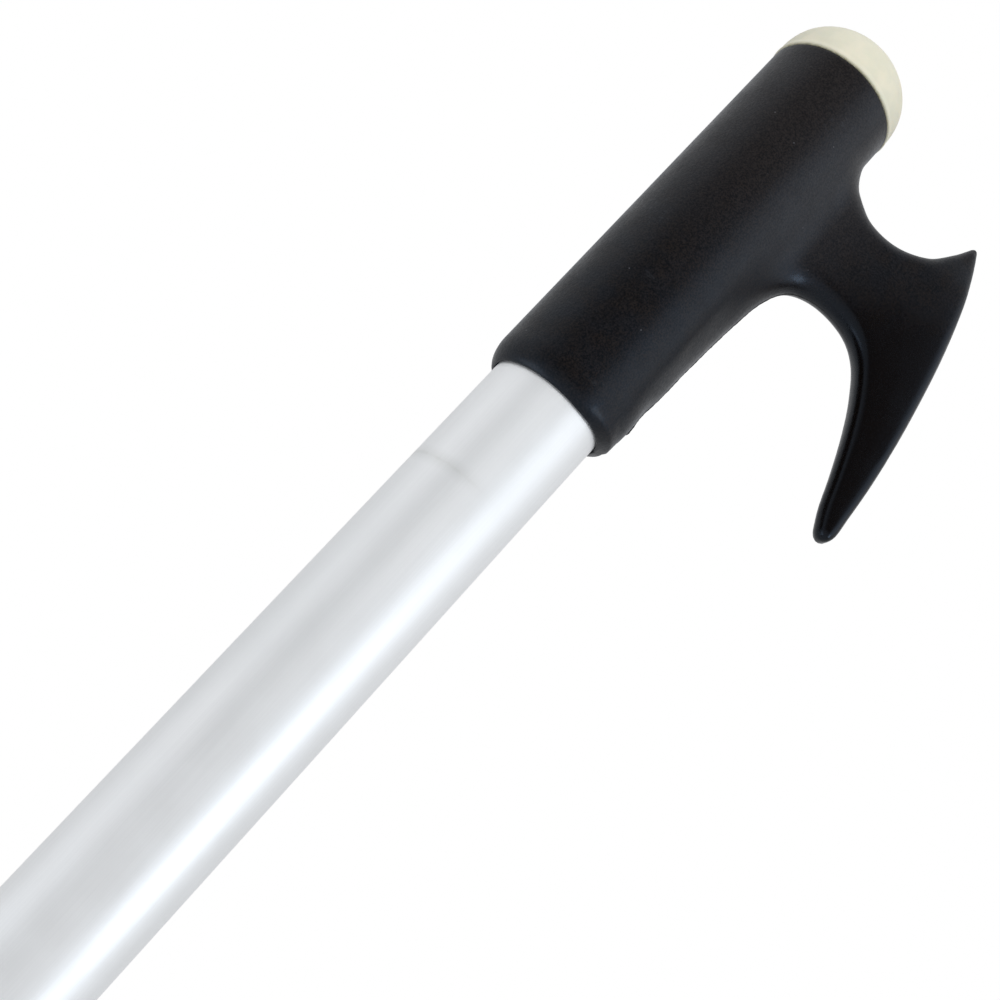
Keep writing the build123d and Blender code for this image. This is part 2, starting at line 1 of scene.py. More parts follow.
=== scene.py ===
"""Looks of the telescopic boat hook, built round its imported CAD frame.

All places are in metres in the row frame: the pole stands along +Z with its butt at z = 0, and the
hook reaches out along +X. Shapes are worked out in millimetres and scaled once, by MM.
"""

import math

import bmesh
import bpy
import numpy as np
from mathutils import Matrix, Vector


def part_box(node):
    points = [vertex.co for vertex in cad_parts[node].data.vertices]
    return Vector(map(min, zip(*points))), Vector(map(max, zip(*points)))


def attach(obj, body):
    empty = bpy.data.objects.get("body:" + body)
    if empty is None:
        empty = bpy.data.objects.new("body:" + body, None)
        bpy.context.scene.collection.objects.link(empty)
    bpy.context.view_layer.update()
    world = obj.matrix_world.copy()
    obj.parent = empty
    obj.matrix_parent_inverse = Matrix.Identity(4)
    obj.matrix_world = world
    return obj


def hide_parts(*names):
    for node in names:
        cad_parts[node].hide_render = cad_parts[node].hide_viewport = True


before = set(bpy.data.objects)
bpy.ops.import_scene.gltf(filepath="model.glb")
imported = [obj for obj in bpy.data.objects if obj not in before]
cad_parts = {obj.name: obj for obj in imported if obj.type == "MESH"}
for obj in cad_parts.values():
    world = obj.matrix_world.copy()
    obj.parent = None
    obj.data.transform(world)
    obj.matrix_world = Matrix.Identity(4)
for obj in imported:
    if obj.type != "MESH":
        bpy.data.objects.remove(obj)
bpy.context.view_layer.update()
MM = 0.001

# ---------------------------------------------------------------- sizes, in millimetres, and places
head_low, head_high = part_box("hook_head")
MOUTH_Z = head_low.z / MM
SLEEVE_LENGTH = (head_high.z - head_low.z) / MM
SLEEVE_R = 15.1
TUBE_R = 12.5
SOCKET_R = 12.62
LIP_HEIGHT = 5.2
TOP_EDGE = 0.3
screw_low, screw_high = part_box("head_screw")
SCREW_HEIGHT = (screw_low.z + screw_high.z) / 2 / MM - MOUTH_Z
SCREW_SEAT_R = 4.2
SCREW_SEAT_Y = 14.2
UNION_REACH = 4.0
HEAD_STEP = 0.75
OUTLINE_STEP = 0.25
OUTLINE_MARGIN = 12.0
FLASH_START = 8.0
FLASH_LENGTH = 66.0
GRIP_WALL = 2.95
GRIP_GROOVES = 20
GRIP_PITCH = 6.0
GRIP_GROOVE_DEPTH = 0.95
GRIP_GROOVE_HALF_WIDTH = 0.95
GRIP_BLOCKS = 24
NUT_FLUTES = 18
NUT_FLUTE_DEPTH = 1.35
NUT_FLUTE_HALF_WIDTH = 2.05
NUT_THREAD_R = 17.46
SCUFF_DROP = 24.6

# The hook's outline in its middle plane: (x, height above the mouth), anticlockwise from the foot
HOOK_OUTLINE = [
    (8.0, 12.0),
    (13.2, 16.0),
    (14.75, 27.0),
    (16.3, 40.0),
    (18.1, 50.0),
    (20.9, 55.5),
    (25.2, 57.85),
    (30.5, 58.45),
    (36.2, 57.3),
    (40.5, 54.35),
    (44.85, 48.2),
    (48.45, 40.8),
    (51.8, 32.0),
    (54.2, 25.0),
    (55.6, 22.0),
    (56.55, 20.4),
    (57.9, 19.5),
    (59.4, 19.9),
    (60.25, 21.7),
    (60.1, 26.0),
    (59.15, 37.5),
    (56.8, 53.4),
    (53.75, 68.8),
    (50.15, 81.8),
    (46.6, 91.7),
    (45.3, 93.8),
    (44.4, 93.7),
    (43.6, 92.3),
    (42.0, 89.2),
    (37.9, 83.95),
    (31.5, 80.65),
    (24.4, 80.6),
    (18.4, 83.75),
    (14.7, 86.3),
    (11.3, 86.9),
    (8.0, 87.2),
]

# The dome's side from its foot upwards: (radius, height above the sleeve)
NOSE_SIDE = [
    (15.15, 0.25),
    (15.2, 1.5),
    (15.15, 3.2),
    (14.85, 5.0),
    (14.2, 6.9),
    (12.9, 9.0),
    (11.2, 10.8),
    (8.7, 12.6),
    (5.6, 14.0),
]

# The camera: its distance in front of the tube's axis, its drop below the mouth, angles in degrees
CAMERA_DISTANCE = 270.6
CAMERA_DROP = 103.3
CAMERA_AZIMUTH = 1.22
CAMERA_ELEVATION = 17.2
CAMERA_ROLL = 42.44
CAMERA_LENS = 53.19

# The studio's brightness, and its dimmer places: direction, cosines of outer and inner edge, share left
SURROUND = 0.80
DIM_PLACES = (
    ((-0.18, -1.0, 0.12), 0.40, 0.90, 0.17),
    ((-0.85, 0.50, 0.0), 0.82, 0.97, 0.82),
    ((0.88, 0.47, 0.0), 0.84, 0.97, 0.72),
)


# ---------------------------------------------------------------- helpers
def smoothstep(low, high, value):
    """0 below low, 1 above high, and smooth between them; low may be above high."""
    t = np.clip((value - low) / (high - low), 0.0, 1.0)
    return t * t * (3.0 - 2.0 * t)


def smooth_min(a, b, reach):
    """The smaller of two distances, rounded over reach where they are about equal."""
    overlap = np.clip(reach - np.abs(a - b), 0.0, None) / reach
    return np.minimum(a, b) - overlap**2 * reach / 4.0


def smooth_loop(points, steps):
    """A closed centripetal Catmull-Rom curve through the points."""
    p = np.array(points, float)
    count = len(p)
    pieces = []
    for i in range(count):
        p0, p1, p2, p3 = (p[(i + k) % count] for k in (-1, 0, 1, 2))
        t1 = np.linalg.norm(p1 - p0) ** 0.5
        t2 = t1 + np.linalg.norm(p2 - p1) ** 0.5
        t3 = t2 + np.linalg.norm(p3 - p2) ** 0.5
        t = np.linspace(t1, t2, steps, endpoint=False)[:, None]
        a1 = (t1 - t) / t1 * p0 + t / t1 * p1
        a2 = (t2 - t) / (t2 - t1) * p1 + (t - t1) / (t2 - t1) * p2
        a3 = (t3 - t) / (t3 - t2) * p2 + (t - t2) / (t3 - t2) * p3
        b1 = (t2 - t) / t2 * a1 + t / t2 * a2
        b2 = (t3 - t) / (t3 - t1) * a2 + (t - t1) / (t3 - t1) * a3
        pieces.append((t2 - t) / (t2 - t1) * b1 + (t - t1) / (t2 - t1) * b2)
    return np.concatenate(pieces)


def mesh_object(name, vertices, faces, body):
    """A smooth-shaded mesh piece from points in millimetres, riding on a CAD body."""
    mesh = bpy.data.meshes.new(name)
    mesh.from_pydata([tuple(v) for v in np.asarray(vertices) * MM], [], faces)
    mesh.update()
    mesh.polygons.foreach_set("use_smooth", [True] * len(mesh.polygons))
    piece = bpy.data.objects.new(name, mesh)
    bpy.context.scene.collection.objects.link(piece)
    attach(piece, body)
    return piece


# ---------------------------------------------------------------- hook head, as a distance field
def outline_distance_grid(outline, step):
    """Signed distance to a closed outline on a grid, negative inside: (grid, its low corner)."""
    a = outline
    b = np.roll(outline, -1, axis=0)
    low = outline.min(0) - OUTLINE_MARGIN
    size = np.ceil((outline.max(0) + OUTLINE_MARGIN - low) / step).astype(int) + 1
    xs = low[0] + np.arange(size[0]) * step
    zs = low[1] + np.arange(size[1]) * step
    grid = np.empty(size)
    run = b - a
    length2 = (run**2).sum(1)
    for i, x in enumerate(xs):
        to_x = x - a[:, 0]
        to_z = zs[:, None] - a[:, 1]
        along = np.clip((to_x * run[:, 0] + to_z * run[:, 1]) / length2, 0.0, 1.0)
        nearest = np.hypot(to_x - along * run[:, 0], to_z - along * run[:, 1]).min(1)
        crosses = (a[:, 0] > x) != (b[:, 0] > x)
        reach = np.where(crosses, run[:, 0], 1.0)
        height = a[:, 1] + (x - a[:, 0]) / reach * run[:, 1]
        inside = (crosses & (zs[:, None] < height)).sum(1) % 2 == 1
        grid[i] = np.where(inside, -nearest, nearest)
    return grid, low


outline_grid, outline_low = outline_distance_grid(smooth_loop(HOOK_OUTLINE, 14), OUTLINE_STEP)


def outline_distance(x, z):
    """The stored outline distance, read between its grid points."""
    u = np.clip((x - outline_low[0]) / OUTLINE_STEP, 0, outline_grid.shape[0] - 1.001)
    v = np.clip((z - outline_low[1]) / OUTLINE_STEP, 0, outline_grid.shape[1] - 1.001)
    i, j = u.astype(int), v.astype(int)
    fu, fv = u - i, v - j
    near = outline_grid[i, j] * (1 - fv) + outline_grid[i, j + 1] * fv
    far = outline_grid[i + 1, j] * (1 - fv) + outline_grid[i + 1, j + 1] * fv
    return near * (1 - fu) + far * fu


def head_distance(x, y, z):
    """Distance field of the head's outside, in millimetres, negative inside the plastic."""
    # The sleeve swells a little just above the lip, on the hook side
    swell = 0.35 * smoothstep(4.0, 6.0, z) * np.exp(-(((z - 8.5) / 4.0) ** 2))
    sleeve = np.hypot(x, y) - SLEEVE_R - swell * smoothstep(11.0, 15.0, x)
    to_outline = outline_distance(x, z)
    # Half the blade's thickness: broad at the sleeve, thin at barb and horn, a little crowned
    flare = 1.2 + 4.8 * smoothstep(34.0, 58.0, z)
    half = 4.3 + flare * np.exp(-np.clip(x - 8.0, 0.0, None) / 8.0)
    half = half * (1.0 - 0.26 * smoothstep(52.0, 20.0, z) * smoothstep(30.0, 42.0, x))
    half = half * (1.0 - 0.42 * smoothstep(80.0, 94.0, z) * smoothstep(20.0, 40.0, x))
    half = half * (1.0 - 0.16 * np.exp(np.clip(to_outline, None, 0.0) / 3.5))
    # Its edge radius: large in the crotch, small along the outer edge
    outer_side = smoothstep(-3.0, 2.0, x - (57.5 - 0.25 * (z - 20.0)))
    edge_r = 2.9 - 1.1 * outer_side + 5.5 * np.exp(-np.clip(x - 12.0, 0.0, None) / 9.0)
    edge_r = np.minimum(edge_r, half - 0.05)
    over_edge = to_outline + edge_r
    over_face = np.abs(y) - (half - edge_r)
    corner = np.hypot(np.clip(over_edge, 0.0, None), np.clip(over_face, 0.0, None))
    blade = corner + np.minimum(np.maximum(over_edge, over_face), 0.0) - edge_r
    outside = smooth_min(sleeve, blade, UNION_REACH)
    # The round seat sunk into the far side for the head's screw
    seat = np.maximum(np.hypot(x, z - SCREW_HEIGHT) - SCREW_SEAT_R, SCREW_SEAT_Y - y)
    return -smooth_min(-outside, seat, 0.5)


def surface_nets(field, low, step):
    """Quads round the zero surface of a field sampled on a grid: (points, quads)."""
    inside = field < 0
    corners = [(i, j, k) for i in (0, 1) for j in (0, 1) for k in (0, 1)]
    nx, ny, nz = (n - 1 for n in field.shape)
    count = sum(inside[i : i + nx, j : j + ny, k : k + nz].astype(int) for i, j, k in corners)
    cells = np.argwhere((count > 0) & (count < 8))
    number = -np.ones((nx, ny, nz), int)
    number[tuple(cells.T)] = np.arange(len(cells))
    total = np.zeros((len(cells), 3))
    hits = np.zeros(len(cells))
    for c in corners:
        for axis in range(3):
            if c[axis]:
                continue
            d = list(c)
            d[axis] = 1
            va = field[tuple((cells + c).T)]
            vb = field[tuple((cells + d).T)]
            cut = (va < 0) != (vb < 0)
            share = va / np.where(cut, va - vb, 1.0)
            point = np.array(c, float)[None, :].repeat(len(cells), 0)
            point[:, axis] += share
            total[cut] += point[cut]
            hits[cut] += 1
    points = low + (cells + total / hits[:, None]) * step
    quads = []
    for axis in range(3):
        u, v = (axis + 1) % 3, (axis + 2) % 3
        first = [slice(None)] * 3
        second = [slice(None)] * 3
        first[axis] = slice(0, -1)
        second[axis] = slice(1, None)
        ends = np.argwhere(inside[tuple(first)] != inside[tuple(second)])
        keep = (ends[:, u] > 0) & (ends[:, v] > 0)
        keep &= (ends[:, u] < field.shape[u] - 1) & (ends[:, v] < field.shape[v] - 1)
        ends = ends[keep]
        ring = []
        for du, dv in ((-1, -1), (0, -1), (0, 0), (-1, 0)):
            cell = ends.copy()
            cell[:, u] += du
            cell[:, v] += dv
            ring.append(number[tuple(cell.T)])
        ring = np.stack(ring, 1)
        starts_inside = inside[tuple(ends.T)]
        ring[~starts_inside] = ring[~starts_inside][:, ::-1]
        quads.append(ring)
    return points, np.concatenate(quads)


def pull_to_surface(points, distance, rounds=4):
    """Moves points along the field's slope until they lie on its zero surface."""
    small = 0.02
    for _ in range(rounds):
        x, y, z = points.T
        value = distance(x, y, z)
        slope = np.stack(
            [
                distance(x + small, y, z) - distance(x - small, y, z),
                distance(x, y + small, z) - distance(x, y - small, z),
                distance(x, y, z + small) - distance(x, y, z - small),
            ],
            1,
        ) / (2 * small)
        move = value / np.clip((slope**2).sum(1), 0.05, None)
        points = points - slope * np.clip(move, -0.5, 0.5)[:, None]
    return points


def build_head():
    """The moulded head: sleeve, hook blade, horn and the fillets between them, as one skin."""
    # The sampled box reaches a little past both heights at which trim_head cuts the sleeve
    low = np.array([-SLEEVE_R - 2.1, -SLEEVE_R - 2.0, 3.1])
    high = np.array([62.0, SLEEVE_R + 2.0, 98.0])
    size = np.ceil((high - low) / HEAD_STEP).astype(int) + 1
    axes = [low[k] + np.arange(size[k]) * HEAD_STEP for k in range(3)]
    x, y, z = np.meshgrid(*axes, indexing="ij")
    field = head_distance(x.ravel(), y.ravel(), z.ravel()).reshape(x.shape)
    points, quads = surface_nets(field, low, HEAD_STEP)
    points = pull_to_surface(points, head_distance)
    points[:, 2] += MOUTH_Z
    head = mesh_object("hook_head_skin", points, quads.tolist(), "pole")
    trim_head(head.data)
    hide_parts("hook_head")
    return head


def open_edges_at(mesh_edit, height):
    """The boundary edges that lie at one height."""
    return [
        e
        for e in mesh_edit.edges
        if e.is_boundary and all(abs(v.co.z - height) < 1e-5 for v in e.verts)
    ]


def mould_step(turn):
    """How much the far mould half is out of line with the near one, round the mouth: 1 at the joint."""
    return smoothstep(0.0, 0.04, turn) * smoothstep(1.1, 0.5, turn)


def spin_out(mesh_edit, edges, profile):
    """Extends a round boundary loop through rings of (radius, height above the mouth).

    The mouth's lip isn't quite round: it steps at the mould's joint, and is fuller on the hook side.
    """
    for radius, height in profile:
        made = bmesh.ops.extrude_edge_only(mesh_edit, edges=edges)["geom"]
        edges = [g for g in made if isinstance(g, bmesh.types.BMEdge)]
        for v in {v for e in edges for v in e.verts}:
            turn = math.atan2(v.co.y, v.co.x)
            drop = mould_step(turn) * smoothstep(4.5, 2.0, height) * smoothstep(SOCKET_R, 13.2, radius)
            full = 0.75 * smoothstep(0.55, 0.95, math.cos(turn)) * smoothstep(13.7, 14.6, radius)
            lift = 0.5 * smoothstep(0.3, 0.9, math.cos(turn)) * smoothstep(2.6, 1.0, height)
            reach = (radius + full * (SLEEVE_R + 0.1 - radius) - 0.5 * drop) * MM
            up = (MOUTH_Z + height + lift - 0.5 * drop) * MM
            v.co = Vector((reach * math.cos(turn), reach * math.sin(turn), up))
        edges = [e for e in edges if e.is_boundary]


def trim_head(mesh):
    """Cuts the skin square at both ends, and adds the lip, the socket and the nose's seat."""
    edit = bmesh.new()
    edit.from_mesh(mesh)
    top = SLEEVE_LENGTH
    for height, outwards in ((LIP_HEIGHT, -1), (top - TOP_EDGE, 1)):
        bmesh.ops.bisect_plane(
            edit,
            geom=edit.verts[:] + edit.edges[:] + edit.faces[:],
            plane_co=(0, 0, (MOUTH_Z + height) * MM),
            plane_no=(0, 0, outwards),
            clear_outer=True,
            dist=1e-7,
        )
    lip = [(15.05, 4.4), (14.93, 3.6), (14.76, 2.8), (14.5, 2.0), (14.16, 1.3), (13.75, 0.7)]
    lip += [(13.35, 0.3), (13.0, 0.08), (12.78, 0.12), (SOCKET_R, 0.35), (SOCKET_R, 30.0)]
    spin_out(edit, open_edges_at(edit, (MOUTH_Z + LIP_HEIGHT) * MM), lip)
    seat = [(15.0, top - 0.08), (14.85, top), (14.6, top), (10.5, top)]
    seat += [(10.4, top - 0.2), (10.4, top - 8.0)]
    spin_out(edit, open_edges_at(edit, (MOUTH_Z + top - TOP_EDGE) * MM), seat)
    bmesh.ops.recalc_face_normals(edit, faces=edit.faces[:])
    edit.to_mesh(mesh)
    edit.free()
    mesh.polygons.foreach_set("use_smooth", [True] * len(mesh.polygons))


# ---------------------------------------------------------------- mould flash on the hook side
def middle_slope(x, z):
    """The head's surface slope in its middle plane, as a unit vector pointing outwards."""
    small = 0.05
    along_x = head_distance(x + small, 0.0, z) - head_distance(x - small, 0.0, z)
    along_z = head_distance(x, 0.0, z + small) - head_distance(x, 0.0, z - small)
    return np.array([along_x, along_z]) / math.hypot(along_x, along_z)


def trace_inner_edge(start_height, length, step):
    """Points and outward directions along the head's middle-plane edge, from the mouth to the barb."""
    spot = np.array([SLEEVE_R, start_height])
    spots, directions = [], []
    for _ in range(int(length / step)):
        for _ in range(3):
            slope = middle_slope(*spot)
            spot = spot - slope * head_distance(spot[0], 0.0, spot[1])
        spots.append(spot)
        directions.append(slope)
        spot = spot + step * np.array([-slope[1], slope[0]])
    return np.array(spots), np.array(directions)


def ragged(along, seed):
    """A torn-looking waviness between 0 and 1, from a few sines of unrelated lengths."""
    waves = sum(np.sin(along * rate + seed * rate) for rate in (0.9, 2.3, 4.1, 7.7))
    return 0.5 + waves / 8.0


def build_flash():
    """The thin rough fin that the mould's joint left along the hook side of the head."""
    spots, directions = trace_inner_edge(FLASH_START, FLASH_LENGTH, 0.4)
    along = np.linspace(0.0, FLASH_LENGTH, len(spots))
    fade = smoothstep(FLASH_LENGTH, FLASH_LENGTH * 0.55, along)
    height = (0.08 + 0.14 * ragged(along, 1.0)) * fade + 0.12 * np.exp(-((along / 4.0) ** 2))
    height = height * smoothstep(-0.3, 0.5, along)
    lean = 0.06 * (ragged(along, 4.0) - 0.5)
    rows = []
    corners = ((-1.0, -0.11), (0.0, -0.09), (1.0, -0.03), (1.0, 0.03), (0.0, 0.09), (-1.0, 0.11))
    for share, side in corners:
        proud = height * share if share > 0 else np.full(len(spots), 0.3 * share)
        out = spots + directions * proud[:, None]
        y = side + lean * max(share, 0.0)
        rows.append(np.stack([out[:, 0], y, out[:, 1] + MOUTH_Z], 1))
    return tube_of_rings("parting_flash", np.stack(rows, 1), "pole")


def tube_of_rings(name, rings, body):
    """A closed tube of quads through rings of points, with a flat cap at each end."""
    count, sides = rings.shape[:2]
    faces = []
    for i in range(count - 1):
        for k in range(sides):
            n = (k + 1) % sides
            faces.append((i * sides + k, i * sides + n, (i + 1) * sides + n, (i + 1) * sides + k))
    faces.append(tuple(reversed(range(sides))))
    faces.append(tuple((count - 1) * sides + k for k in range(sides)))
    piece = mesh_object(name, rings.reshape(-1, 3), faces, body)
    fix_normals(piece.data)
    return piece


def fix_normals(mesh):
    """Turns every face outwards."""
    edit = bmesh.new()
    edit.from_mesh(mesh)
    bmesh.ops.recalc_face_normals(edit, faces=edit.faces[:])
    edit.to_mesh(mesh)
    edit.free()


# ---------------------------------------------------------------- turned pieces
def turned(name, profile, body, sides, shape=None):
    """A closed ring of (radius, height) points turned round the pole's axis.

    shape(radius, height, angle) may give each point another radius.
    """
    profile = np.array(profile, float)
    angles = np.linspace(0.0, 2 * math.pi, sides, endpoint=False)
    radius, angle = np.meshgrid(profile[:, 0], angles)
    height = np.broadcast_to(profile[:, 1], radius.shape)
    if shape:
        radius = shape(radius, height, angle)
    points = np.stack([radius * np.cos(angle), radius * np.sin(angle), height], 2)
    rows = len(profile)
    faces = []
    for i in range(sides):
        after = (i + 1) % sides
        for k in range(rows):
            n = (k + 1) % rows
            faces.append((i * rows + k, after * rows + k, after * rows + n, i * rows + n))
    piece = mesh_object(name, points.reshape(-1, 3), faces, body)
    fix_normals(piece.data)
    return piece


def rounded(corner, before, after, radius, steps=6):
    """Points of a round edge at a corner of a (radius, height) profile."""
    corner, before, after = (np.array(p, float) for p in (corner, before, after))
    to_before = (before - corner) / np.linalg.norm(before - corner)
    to_after = (after - corner) / np.linalg.norm(after - corner)
    t = np.linspace(0.0, 1.0, steps)[:, None]
    bend = (1 - t) ** 2 * (corner + to_before * radius) + 2 * t * (1 - t) * corner
    return [tuple(p) for p in bend + t**2 * (corner + to_after * radius)]


def rounded_profile(corners, radii):
    """A closed profile with each corner rounded by its own radius."""
    points = []
    for k, (corner, radius) in enumerate(zip(corners, radii)):
        before, after = corners[k - 1], corners[(k + 1) % len(corners)]
        points += rounded(corner, before, after, radius) if radius else [corner]
    return points


def box_sizes(name):
    """A CAD node's lowest height, highest height and outer radius, in millimetres."""
    low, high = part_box(name)
    return low.z / MM, high.z / MM, high.x / MM


def build_grip():
    """The rubber hand grip: a bead at each end, and ribs with rounded grooves between them."""
    bottom, top, outer = box_sizes("grip_sleeve")
    bore = outer - GRIP_WALL
    middle = (bottom + top) / 2
    first_groove = middle - (GRIP_GROOVES - 1) / 2 * GRIP_PITCH
    last_groove = middle * 2 - first_groove
    heights = np.linspace(bottom + 2.0, top - 2.0, 560)
    to_groove = (heights - first_groove + GRIP_PITCH / 2) % GRIP_PITCH - GRIP_PITCH / 2
    ribbed = (heights > first_groove - GRIP_PITCH / 2) & (heights < last_groove + GRIP_PITCH / 2)
    groove = np.where(ribbed, np.exp(-((to_groove / GRIP_GROOVE_HALF_WIDTH) ** 4)), 0.0)
    crown = np.where(ribbed, 0.22 * (1 - (2 * np.abs(to_groove) / GRIP_PITCH) ** 2), 0.0)
    radius = outer - 0.05 - GRIP_GROOVE_DEPTH * groove - crown
    side = [(r, h) for r, h in zip(radius, heights)]
    foot = rounded((outer, bottom), (bore, bottom), (outer, top), 1.9)
    head = rounded((outer, top), (outer, bottom), (bore, top), 1.9)
    profile = [(bore, bottom + 0.4), (bore + 0.4, bottom)] + foot + side + head
    profile += [(bore + 0.4, top), (bore, top - 0.4)]

    def knurl(radius, height, angle):
        """Breaks each rib into short blocks, staggered from rib to rib."""
        rib = np.floor((height - first_groove) / GRIP_PITCH)
        turn = angle * GRIP_BLOCKS / (2 * math.pi) + 0.5 * (rib % 2)
        cut = np.exp(-(((turn % 1.0 - 0.5) / 0.07) ** 4))
        across = (height - first_groove) / GRIP_PITCH % 1.0
        on_rib = smoothstep(0.14, 0.24, across) * smoothstep(0.86, 0.76, across)
        inside = (height > first_groove) & (height < last_groove) & (radius > outer - 0.5)
        return radius - 0.55 * cut * on_rib * inside

    grip = turned("grip_sleeve_skin", profile, "handle", 384, knurl)
    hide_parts("grip_sleeve")
    return grip


def build_nut():
    """The clamp's nut: soft finger flutes that run out below a plain band, and a tapered top."""
    bottom, top, outer = box_sizes("lock_nut")
    clamp_top = box_sizes("clamp_base")[1]
    thread = NUT_THREAD_R
    throat = TUBE_R + 0.4
    seat = clamp_top + 0.6
    corners = [
        (thread, bottom),
        (outer, bottom),
        (outer, top - 9.0),
        (outer - 3.4, top),
        (throat, top),
        (throat, seat + 12.0),
        (throat + 3.2, seat + 12.0),
        (throat + 3.2, seat),
        (thread, seat),
    ]
    profile = rounded_profile(corners, [0.3, 1.3, 2.4, 1.6, 0.5, 0.0, 0.0, 0.0, 0.0])
    walls = []
    for (r0, h0), (r1, h1) in zip(profile, profile[1:] + profile[:1]):
        pieces = max(1, int(abs(h1 - h0) / 1.0)) if min(r0, r1) > thread else 1
        walls += [(r0 + (r1 - r0) * k / pieces, h0 + (h1 - h0) * k / pieces) for k in range(pieces)]

    def flutes(radius, height, angle):
        """Cuts round flutes into the outer wall."""
        turn = angle / (2 * math.pi) * NUT_FLUTES % 1.0 - 0.5
        across = turn * 2 * math.pi * outer / NUT_FLUTES
        depth = NUT_FLUTE_DEPTH * np.exp(-np.abs(across / NUT_FLUTE_HALF_WIDTH) ** 3.2)
        outer_wall = (radius > outer - 3.6) & (height < top - 0.4)
        return radius - depth * smoothstep(bottom + 5.0, bottom + 9.0, height) * outer_wall

    nut = turned("lock_nut_skin", walls, "nut", 432, flutes)
    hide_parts("lock_nut")
    return nut


def build_nose():
    """The ivory nose: a full round dome flush with the sleeve, on a plug let into the sleeve's end."""
    top = box_sizes("nose_plug")[1]
    joint = MOUTH_Z + SLEEVE_LENGTH
    scale = (top - joint) / 15.0
    side = [(r, joint + h * scale) for r, h in NOSE_SIDE]
    over_the_top = [(-r, h) for r, h in reversed(side)]
    curve = smooth_loop(side + [(0.0, top - 0.1)] + over_the_top, 8)
    dome = [(max(r, 0.0), h) for r, h in curve if r > -1e-6 and h > joint]
    plug = [(0.0, joint - 9.0), (9.6, joint - 9.0), (10.3, joint - 8.3), (10.3, joint + 0.02)]
    base = [(14.75, joint + 0.02), (15.05, joint + 0.12)]
    nose = turned("nose_plug_skin", plug + base + dome, "pole", 160)
    edit = bmesh.new()
    edit.from_mesh(nose.data)
    bmesh.ops.remove_doubles(edit, verts=edit.verts[:], dist=1e-6)
    bmesh.ops.dissolve_degenerate(edit, edges=edit.edges[:], dist=1e-7)
    edit.to_mesh(nose.data)
    edit.free()
    fix_normals(nose.data)
    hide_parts("nose_plug")
    return nose


# ---------------------------------------------------------------- materials
class Paint:
    """A new Principled material, with short ways to add the nodes that colour and roughen it."""

    def __init__(self, name, roughness, metallic=0.0, specular=0.5):
        self.material = bpy.data.materials.new(name)
        self.material.use_nodes = True
        self.tree = self.material.node_tree
        self.shader = self.tree.nodes["Principled BSDF"]
        self.shader.inputs["Metallic"].default_value = metallic
        self.shader.inputs["Roughness"].default_value = roughness
        self.shader.inputs["Specular IOR Level"].default_value = specular
        self.place = self.node("ShaderNodeTexCoord").outputs["Object"]
        self.bump = None

    def node(self, kind, inputs=None, **settings):
        """Adds a node; inputs may be plain values or other nodes' sockets."""
        made = self.tree.nodes.new(kind)
        for key, value in settings.items():
            setattr(made, key, value)
        for socket, value in (inputs or {}).items():
            if isinstance(value, bpy.types.NodeSocket):
                self.tree.links.new(value, made.inputs[socket])
            else:
                made.inputs[socket].default_value = value
        return made

    def stretched(self, stretch):
        """The object's own coordinates, scaled by a different amount along each axis."""
        return self.node("ShaderNodeMapping", {"Vector": self.place, "Scale": stretch}).outputs[0]

    def noise(self, size, detail=4.0, roughness=0.55, stretch=(1, 1, 1)):
        """Noise with spots of about a size in millimetres."""
        inputs = {"Vector": self.stretched(stretch), "Scale": 1.0 / (size * MM)}
        inputs |= {"Detail": detail, "Roughness": roughness}
        return self.node("ShaderNodeTexNoise", inputs).outputs["Fac"]

    def spread(self, value, low, high, to_low=0.0, to_high=1.0):
        """Maps low..high of a value to to_low..to_high, smoothly and no further."""
        inputs = {"Value": value, "From Min": low, "From Max": high}
        inputs |= {"To Min": to_low, "To Max": to_high}
        made = self.node("ShaderNodeMapRange", inputs, interpolation_type="SMOOTHSTEP")
        return made.outputs["Result"]

    def maths(self, operation, a, b):
        """One arithmetic step."""
        return self.node("ShaderNodeMath", {0: a, 1: b}, operation=operation).outputs[0]

    def mix(self, share, first, second):
        """A colour between two colours."""
        inputs = {0: share, 6: colour4(first), 7: colour4(second)}
        return self.node("ShaderNodeMix", inputs, data_type="RGBA").outputs[2]

    def colour(self, socket):
        """Wires the base colour."""
        self.tree.links.new(socket, self.shader.inputs["Base Color"])

    def rough(self, socket):
        """Wires the roughness."""
        self.tree.links.new(socket, self.shader.inputs["Roughness"])

    def relief(self, height, depth, strength=1.0):
        """Adds relief of a depth in millimetres on top of what is there."""
        inputs = {"Height": height, "Distance": depth * MM, "Strength": strength}
        if self.bump:
            inputs["Normal"] = self.bump
        self.bump = self.node("ShaderNodeBump", inputs).outputs["Normal"]
        self.tree.links.new(self.bump, self.shader.inputs["Normal"])

    def height_band(self, height, half_width):
        """1 at a height on the pole, in millimetres, fading to 0 at half_width from it."""
        up = self.node("ShaderNodeSeparateXYZ", {0: self.place}).outputs["Z"]
        away = self.maths("ABSOLUTE", self.maths("SUBTRACT", up, height * MM), 0.0)
        return self.spread(away, 0.0, half_width * MM, 1.0, 0.0)

    def near(self, point, reach):
        """1 at a point in millimetres, fading to 0 at a reach from it."""
        place = tuple(value * MM for value in point)
        gap = self.node("ShaderNodeVectorMath", {0: self.place, 1: place}, operation="DISTANCE")
        return self.spread(gap.outputs["Value"], 0.0, reach * MM, 1.0, 0.0)


def colour4(colour):
    """A colour with its alpha, or the socket that it already is."""
    return colour if isinstance(colour, bpy.types.NodeSocket) else (*colour, 1.0)


